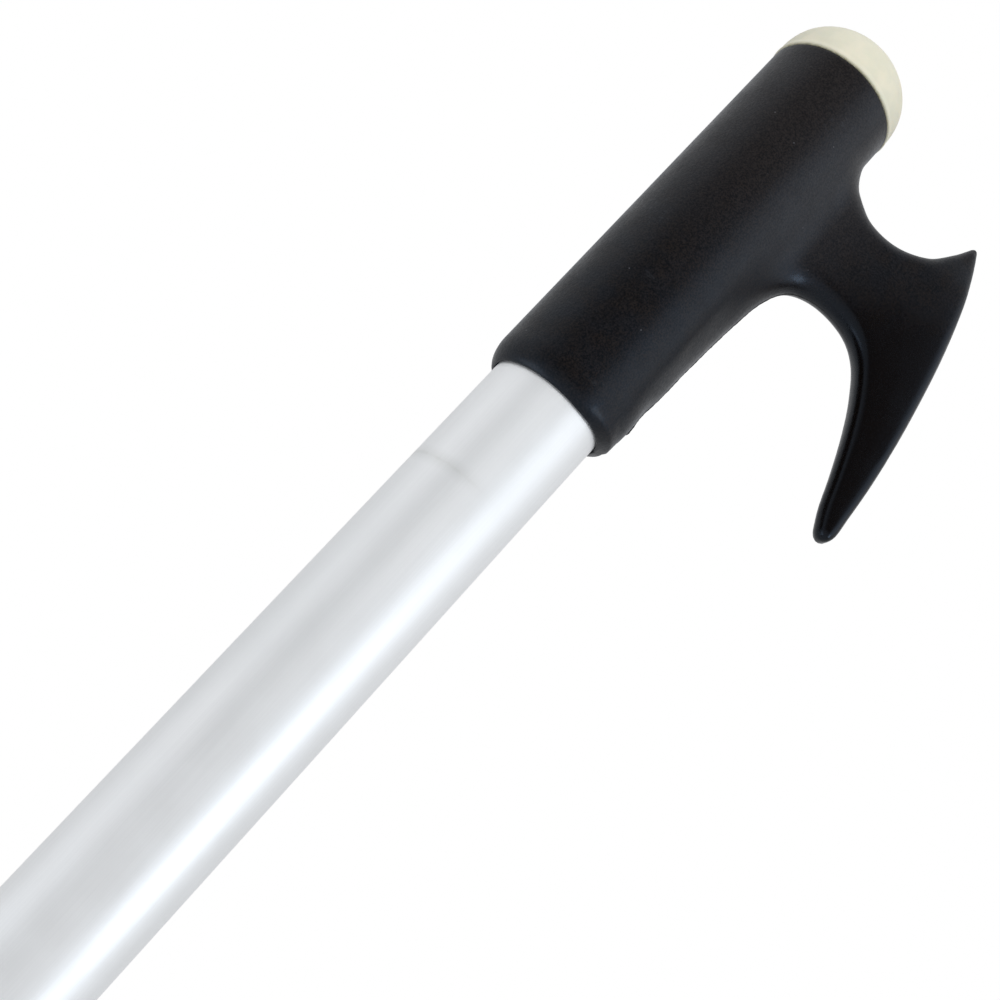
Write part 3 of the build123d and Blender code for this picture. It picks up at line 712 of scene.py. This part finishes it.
def specks(paint, spacing, size, share):
    """Small round specks: 1 inside them, in a share of the cells of a grid of about the spacing."""
    inputs = {"Vector": paint.place, "Scale": 1.0 / (spacing * MM)}
    cells = paint.node("ShaderNodeTexVoronoi", inputs)
    dots = paint.spread(cells.outputs["Distance"], size / spacing, size / spacing * 0.5)
    pick = paint.node("ShaderNodeSeparateColor", {0: cells.outputs["Color"]}).outputs[0]
    return paint.maths("MULTIPLY", dots, paint.maths("LESS_THAN", pick, share))


def scratches(paint, spacing, share, stretch):
    """Sparse hair scratches, long along the axis that stretch makes small."""
    fine = paint.noise(spacing, 2.0, 0.5, stretch)
    line = paint.spread(fine, 0.60, 0.66)
    where = paint.spread(paint.noise(14.0, 3.0), 1.0 - share, 1.0 - share + 0.1)
    return paint.maths("MULTIPLY", line, where)


def head_plastic():
    """Glass-filled nylon: a spark-eroded grain, dust, rub marks, and a barb darkened by painted shade
    and polished by ropes.
    """
    paint = Paint("head_plastic_grain", 0.46, specular=0.22)
    paint.shader.inputs["Specular Tint"].default_value = (0.42, 0.66, 1.0, 1.0)
    paint.shader.inputs["Sheen Weight"].default_value = 0.06
    paint.shader.inputs["Sheen Tint"].default_value = (0.45, 0.66, 1.0, 1.0)
    paint.shader.inputs["Sheen Roughness"].default_value = 0.25
    paint.shader.inputs["Coat Weight"].default_value = 0.15
    paint.shader.inputs["Coat Roughness"].default_value = 0.22
    # The barb is painted darker, as painted shade, and is smoother and shinier than the rest
    barb_shade_and_polish = paint.spread(paint.near((62.0, 0.0, MOUTH_Z + 30.0), 62.0), 0.0, 0.36)
    rubbed = scratches(paint, 0.8, 0.45, (0.35, 1.0, 1.6))
    dust = specks(paint, 3.4, 0.22, 0.35)
    worn = paint.mix(paint.maths("MULTIPLY", rubbed, 0.22), head_tone(paint), (0.035, 0.037, 0.042))
    dusty = paint.mix(paint.maths("MULTIPLY", dust, 0.5), worn, (0.10, 0.10, 0.11))
    # Painted shade: the barb's colour is pulled towards near black, where its faces lie in shade
    paint.colour(paint.mix(paint.maths("MULTIPLY", barb_shade_and_polish, 0.9), dusty, (0.0022, 0.0009, 0.0002)))
    gloss = paint.spread(paint.noise(6.0, 4.0), 0.3, 0.7, 0.40, 0.50)
    grainy = paint.spread(paint.noise(0.6, 3.0, 0.7), 0.35, 0.65, -0.05, 0.06)
    # The hook's root, where ropes rub
    polished = paint.near((19.0, 0.0, MOUTH_Z + 58.0), 13.0)
    shine = paint.maths("MULTIPLY", rubbed, 0.05)
    shine = paint.maths("ADD", shine, paint.maths("MULTIPLY", polished, 0.2))
    rough = paint.maths("SUBTRACT", paint.maths("ADD", gloss, grainy), shine)
    paint.rough(paint.maths("MULTIPLY", rough, paint.spread(barb_shade_and_polish, 0.0, 1.0, 1.0, 0.58)))
    smoothed = paint.spread(barb_shade_and_polish, 0.0, 1.0, 1.0, 0.3)
    paint.relief(paint.noise(9.0, 2.0), 0.05, smoothed)
    paint.relief(paint.noise(0.6, 3.0, 0.65), 0.055, smoothed)
    paint.relief(paint.noise(0.25, 2.0, 0.5), 0.014, smoothed)
    paint.relief(dust, 0.03, smoothed)
    return paint.material


def head_tone(paint):
    """The head's mottled black-brown, in patches of two tones, and painted paler towards the nose as
    painted light.
    """
    mottle = paint.spread(paint.noise(0.38, 3.0, 0.75), 0.36, 0.64)
    blotch = paint.spread(paint.noise(5.0, 3.0), 0.35, 0.65)
    brown = paint.mix(mottle, (0.0012, 0.0007, 0.0003), (0.0125, 0.0085, 0.0062))
    blue = paint.mix(mottle, (0.0010, 0.0008, 0.0007), (0.0100, 0.0083, 0.0085))
    near_mouth = paint.mix(blotch, brown, blue)
    pale = paint.mix(mottle, (0.0050, 0.0036, 0.0030), (0.0180, 0.0140, 0.0120))
    place = paint.node("ShaderNodeSeparateXYZ", {0: paint.place})
    # Painted light: the sleeve and the hook's root are made paler towards the nose, standing in for the
    # brighter light there
    painted_light_towards_nose = paint.spread(place.outputs["Z"], (MOUTH_Z + 20.0) * MM, (MOUTH_Z + 78.0) * MM)
    on_sleeve = paint.spread(place.outputs["X"], 0.015, 0.034, 1.0, 0.0)
    return paint.mix(paint.maths("MULTIPLY", painted_light_towards_nose, on_sleeve), near_mouth, pale)


def flash_plastic():
    """The same plastic where the mould squeezed it out: darker and rougher."""
    paint = Paint("flash_plastic", 0.6, specular=0.2)
    paint.colour(paint.mix(paint.noise(0.5), (0.003, 0.003, 0.003), (0.012, 0.012, 0.013)))
    paint.rough(paint.spread(paint.noise(0.8), 0.3, 0.7, 0.5, 0.75))
    paint.relief(paint.noise(0.3, 4.0), 0.05)
    return paint.material


def satin_tube(name, wear):
    """Satin anodised tube: fine drawing lines along it, faint clouds, and scratches by wear."""
    paint = Paint(name, 0.42, metallic=0.38)
    lines = paint.noise(0.25, 3.0, 0.6, (1.0, 1.0, 0.012))
    clouds = paint.noise(16.0, 4.0, 0.5, (1.0, 1.0, 0.35))
    tone = paint.mix(paint.spread(clouds, 0.3, 0.7), (0.84, 0.865, 0.89), (0.88, 0.90, 0.925))
    lined = paint.mix(paint.spread(lines, 0.35, 0.65, 0.0, 0.35), tone, (0.81, 0.83, 0.855))
    hair = scratches(paint, 0.5, wear, (1.0, 1.0, 0.05))
    rubs = scratches(paint, 0.7, wear * 0.8, (0.25, 0.25, 2.2))
    marks = paint.maths("MAXIMUM", hair, rubs)
    paint.colour(paint.mix(paint.maths("MULTIPLY", marks, 0.35), lined, (0.70, 0.72, 0.75)))
    satin = paint.spread(paint.noise(7.0, 4.0), 0.3, 0.7, 0.39, 0.46)
    paint.rough(paint.maths("ADD", satin, paint.maths("MULTIPLY", marks, 0.1)))
    paint.relief(lines, 0.002)
    paint.relief(paint.noise(0.18, 2.0), 0.0015)
    paint.relief(marks, 0.004)
    return paint


def inner_tube_metal():
    """The pole's satin tube, with a faint ring mark below the head, on the side away from the hook."""
    paint = satin_tube("tube_aluminium_inner", 0.34)
    lined = paint.shader.inputs["Base Color"].links[0].from_socket
    across = paint.node("ShaderNodeSeparateXYZ", {0: paint.place}).outputs["X"]
    one_side = paint.spread(across, -0.006, 0.004, 1.0, 0.05)
    broken = paint.spread(paint.noise(2.6, 3.0), 0.34, 0.62, 0.72, 1.0)
    line = paint.maths("MULTIPLY", paint.height_band(MOUTH_Z - SCUFF_DROP, 1.1), broken)
    halo = paint.maths("MULTIPLY", paint.height_band(MOUTH_Z - SCUFF_DROP, 2.4), 0.16)
    mark = paint.maths("MAXIMUM", paint.maths("MULTIPLY", line, 0.27), halo)
    mark = paint.maths("MULTIPLY", mark, one_side)
    paint.colour(paint.mix(mark, lined, (0.42, 0.44, 0.41)))
    paint.relief(mark, -0.01)
    return paint.material


def nose_plastic():
    """Ivory plastic, slightly translucent, faintly clouded and soiled near the joint with the head."""
    paint = Paint("ivory_plastic_clouded", 0.48, specular=0.35)
    clouds = paint.spread(paint.noise(7.0, 4.0, 0.6), 0.32, 0.68)
    tone = paint.mix(clouds, (0.65, 0.645, 0.53), (0.715, 0.69, 0.565))
    joint = paint.height_band(MOUTH_Z + SLEEVE_LENGTH, 0.55)
    grime = paint.maths("MULTIPLY", joint, paint.spread(paint.noise(1.2), 0.3, 0.7, 0.45, 0.9))
    soiled = paint.mix(grime, tone, (0.30, 0.29, 0.18))
    dust = specks(paint, 4.0, 0.22, 0.3)
    paint.colour(paint.mix(paint.maths("MULTIPLY", dust, 0.35), soiled, (0.35, 0.30, 0.20)))
    paint.rough(paint.spread(paint.noise(3.0, 4.0), 0.3, 0.7, 0.42, 0.55))
    paint.relief(paint.noise(0.4, 3.0), 0.008)
    paint.relief(scratches(paint, 0.7, 0.4, (0.3, 1.0, 1.5)), 0.008)
    paint.shader.inputs["Subsurface Weight"].default_value = 0.12
    paint.shader.inputs["Subsurface Radius"].default_value = (1.0, 0.7, 0.4)
    paint.shader.inputs["Subsurface Scale"].default_value = 0.002
    return paint.material


def moulded_plastic(name, dark, light, roughness, grain):
    """A moulded plastic: mottled colour, patchy gloss, a fine grain and a few rub marks."""
    paint = Paint(name, roughness, specular=0.35)
    tone = paint.mix(paint.spread(paint.noise(1.6, 5.0, 0.65), 0.33, 0.67), dark, light)
    rubbed = scratches(paint, 0.6, 0.4, (1.0, 1.0, 0.3))
    pale = tuple(min(1.0, 1.6 * c + 0.03) for c in light)
    paint.colour(paint.mix(paint.maths("MULTIPLY", rubbed, 0.4), tone, pale))
    paint.rough(paint.spread(paint.noise(4.0, 4.0), 0.3, 0.7, roughness - 0.05, roughness + 0.07))
    paint.relief(paint.noise(grain, 3.0, 0.6), 0.02)
    paint.relief(paint.noise(10.0, 2.0), 0.04)
    return paint.material


def black_plastic():
    """The clamp's and the end cap's black plastic."""
    dark = (0.009, 0.009, 0.010)
    light = (0.016, 0.016, 0.018)
    return moulded_plastic("black_plastic_satin", dark, light, 0.42, 0.5)


def natural_nylon():
    """Undyed nylon of the collet, the washer and the bush."""
    dark = (0.55, 0.54, 0.49)
    light = (0.66, 0.65, 0.60)
    return moulded_plastic("nylon_natural", dark, light, 0.45, 0.6)


def grip_rubber():
    """Soft matt rubber, a little greyed by sheen and dust."""
    paint = Paint("grip_rubber_matt", 0.78, specular=0.25)
    paint.shader.inputs["Sheen Weight"].default_value = 0.12
    bloom = paint.spread(paint.noise(9.0, 5.0, 0.6), 0.35, 0.65)
    tone = paint.mix(bloom, (0.014, 0.014, 0.015), (0.024, 0.024, 0.026))
    dust = specks(paint, 2.2, 0.16, 0.4)
    paint.colour(paint.mix(paint.maths("MULTIPLY", dust, 0.4), tone, (0.09, 0.09, 0.09)))
    paint.rough(paint.spread(paint.noise(3.0, 4.0), 0.3, 0.7, 0.70, 0.86))
    paint.relief(paint.noise(0.35, 4.0, 0.7), 0.035)
    paint.relief(paint.noise(6.0, 2.0), 0.05)
    return paint.material


def seal_rubber():
    """Smooth nitrile rubber."""
    paint = Paint("seal_rubber_smooth", 0.5, specular=0.3)
    paint.colour(paint.mix(paint.noise(1.0), (0.010, 0.010, 0.010), (0.020, 0.020, 0.020)))
    paint.rough(paint.spread(paint.noise(1.5), 0.3, 0.7, 0.42, 0.6))
    paint.relief(paint.noise(0.2, 3.0), 0.01)
    return paint.material


def turned_metal(name, dark, light, roughness):
    """Metal with fine turning marks and a few dull spots."""
    paint = Paint(name, roughness, metallic=0.9)
    rings = paint.noise(0.12, 2.0, 0.5, (1.0, 1.0, 3.0))
    dull = paint.spread(paint.noise(1.5, 4.0), 0.35, 0.65)
    paint.colour(paint.mix(dull, dark, light))
    paint.rough(paint.spread(dull, 0.0, 1.0, roughness + 0.12, roughness))
    paint.relief(rings, 0.006)
    return paint.material


def foam():
    """Closed-cell foam: pale, matt and pitted, with painted shade in the sunk cell edges."""
    paint = Paint("float_foam_cells", 0.9, specular=0.2)
    inputs = {"Vector": paint.place, "Scale": 1.0 / (1.1 * MM)}
    cells = paint.node("ShaderNodeTexVoronoi", inputs).outputs["Distance"]
    # Painted shade: each cell is painted darker towards its edges, which the relief below sinks
    paint.colour(paint.mix(paint.spread(cells, 0.1, 0.7), (0.80, 0.80, 0.76), (0.62, 0.62, 0.58)))
    paint.rough(paint.spread(paint.noise(3.0), 0.3, 0.7, 0.85, 0.95))
    paint.relief(cells, -0.15)
    return paint.material


def build_materials():
    """One material for each slot of the record, and those that single pieces have."""
    return {
        "head": head_plastic(),
        "flash": flash_plastic(),
        "inner_tube": inner_tube_metal(),
        "outer_tube": satin_tube("tube_aluminium_outer", 0.46).material,
        "ivory": nose_plastic(),
        "black": black_plastic(),
        "grip": grip_rubber(),
        "nylon": natural_nylon(),
        "seal": seal_rubber(),
        "rivet": turned_metal("rivet_aluminium_turned", (0.66, 0.67, 0.69), (0.80, 0.81, 0.82), 0.30),
        "screw": turned_metal("screw_steel_turned", (0.46, 0.45, 0.44), (0.60, 0.60, 0.60), 0.24),
        "foam": foam(),
    }


NODE_MATERIALS = {
    "inner_tube": "inner_tube",
    "outer_tube": "outer_tube",
    "nose_plug": "ivory",
    "hook_head": "head",
    "end_cap": "black",
    "clamp_base": "black",
    "lock_nut": "black",
    "lower_bung": "black",
    "upper_bung": "black",
    "grip_sleeve": "grip",
    "collet": "nylon",
    "thrust_washer": "nylon",
    "guide_bush": "nylon",
    "end_cap_seal": "seal",
    "bung_seal": "seal",
    "end_cap_rivets": "rivet",
    "clamp_rivets": "rivet",
    "bush_pins": "rivet",
    "head_screw": "screw",
    "float_core": "foam",
}


def give_material(piece, material):
    """Puts one material on a piece."""
    piece.data.materials.clear()
    piece.data.materials.append(material)


materials = build_materials()
for name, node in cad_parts.items():
    give_material(node, materials[NODE_MATERIALS[name]])
give_material(build_head(), materials["head"])
give_material(build_flash(), materials["flash"])
give_material(build_nose(), materials["ivory"])
give_material(build_grip(), materials["grip"])
give_material(build_nut(), materials["black"])


# ---------------------------------------------------------------- camera
def place_camera():
    """In front of the tube and below the head's mouth, looking a little upwards, and rolled."""
    data = bpy.data.cameras.new("camera")
    camera = bpy.data.objects.new("camera", data)
    bpy.context.scene.collection.objects.link(camera)
    data.sensor_width = 36.0
    data.lens = CAMERA_LENS
    data.clip_start = 0.01
    data.clip_end = 20.0
    azimuth = math.radians(CAMERA_AZIMUTH)
    elevation = math.radians(CAMERA_ELEVATION)
    roll = math.radians(CAMERA_ROLL)
    forward = Vector(
        (
            math.sin(azimuth) * math.cos(elevation),
            math.cos(azimuth) * math.cos(elevation),
            math.sin(elevation),
        )
    )
    level = forward.to_track_quat("-Z", "Y").to_matrix()
    turn = Matrix.Rotation(roll, 3, "Z")
    place = Matrix.Translation((0.0, -CAMERA_DISTANCE * MM, (MOUTH_Z - CAMERA_DROP) * MM))
    camera.matrix_world = place @ (level @ turn).to_4x4()
    bpy.context.scene.camera = camera


# ---------------------------------------------------------------- studio
def build_world():
    """White for the camera; for the rest a soft surround with a few dimmer places."""
    world = bpy.data.worlds.new("studio")
    bpy.context.scene.world = world
    world.use_nodes = True
    nodes, links = world.node_tree.nodes, world.node_tree.links
    nodes.clear()
    place = nodes.new("ShaderNodeTexCoord")
    surround = nodes.new("ShaderNodeBackground")
    surround.inputs["Color"].default_value = (1.0, 1.0, 1.0, 1.0)
    strength = None
    for direction, edge, core, share in DIM_PLACES:
        facing = nodes.new("ShaderNodeVectorMath")
        facing.operation = "DOT_PRODUCT"
        facing.inputs[1].default_value = Vector(direction).normalized()
        links.new(place.outputs["Generated"], facing.inputs[0])
        ramp = nodes.new("ShaderNodeMapRange")
        ramp.interpolation_type = "SMOOTHSTEP"
        ramp.inputs["From Min"].default_value = edge
        ramp.inputs["From Max"].default_value = core
        ramp.inputs["To Min"].default_value = 1.0
        ramp.inputs["To Max"].default_value = share
        links.new(facing.outputs["Value"], ramp.inputs["Value"])
        step = nodes.new("ShaderNodeMath")
        step.operation = "MULTIPLY"
        step.inputs[1].default_value = SURROUND
        links.new(ramp.outputs["Result"], step.inputs[0])
        if strength:
            links.new(strength, step.inputs[1])
        strength = step.outputs[0]
    links.new(strength, surround.inputs["Strength"])
    white = nodes.new("ShaderNodeBackground")
    white.inputs["Color"].default_value = (1.0, 1.0, 1.0, 1.0)
    path = nodes.new("ShaderNodeLightPath")
    mix = nodes.new("ShaderNodeMixShader")
    end = nodes.new("ShaderNodeOutputWorld")
    links.new(path.outputs["Is Camera Ray"], mix.inputs["Fac"])
    links.new(surround.outputs[0], mix.inputs[1])
    links.new(white.outputs[0], mix.inputs[2])
    links.new(mix.outputs[0], end.inputs["Surface"])


def softbox(name, direction, distance, size, power, colour):
    """A rectangular light at a distance from the head, facing it."""
    data = bpy.data.lights.new(name, "AREA")
    data.shape = "RECTANGLE"
    data.size, data.size_y = size
    data.energy = power
    data.color = colour
    lamp = bpy.data.objects.new(name, data)
    bpy.context.scene.collection.objects.link(lamp)
    aim = Vector((0.0, 0.0, (MOUTH_Z + 20.0) * MM))
    away = Vector(direction).normalized()
    lamp.location = aim + away * distance
    lamp.rotation_euler = away.to_track_quat("Z", "Y").to_euler()
    return lamp


def build_floor():
    """A pale round floor under the butt, too small to reach into the photograph's view."""
    bpy.ops.mesh.primitive_circle_add(vertices=96, radius=2.8, fill_type="NGON", location=(0, 0, 0))
    floor = bpy.context.object
    floor.name = "floor"
    paint = Paint("floor_paint", 0.8, specular=0.2)
    paint.colour(paint.mix(paint.noise(60.0), (0.83, 0.83, 0.83), (0.87, 0.87, 0.87)))
    floor.data.materials.append(paint.material)


def build_lights():
    """Three softboxes seen only in reflections, and one that only lights."""
    key = softbox("key", (0.80, -0.47, 0.30), 0.9, (0.8, 1.0), 1.55, (0.80, 0.90, 1.0))
    key.visible_diffuse = False
    low_right = softbox("low_right", (0.86, -0.42, -0.27), 0.5, (0.16, 0.16), 0.38, (0.78, 0.89, 1.0))
    low_right.visible_diffuse = False
    low_left = softbox("low_left", (-0.57, -0.10, -0.77), 0.5, (0.3, 0.3), 0.5, (0.85, 0.92, 1.0))
    low_left.visible_diffuse = False
    front = softbox("front", (0.0, -1.0, 0.35), 0.8, (0.6, 0.6), 4.9, (1.0, 0.995, 0.985))
    front.visible_glossy = False


bpy.context.scene.view_settings.view_transform = "Standard"
place_camera()
build_world()
build_floor()
build_lights()
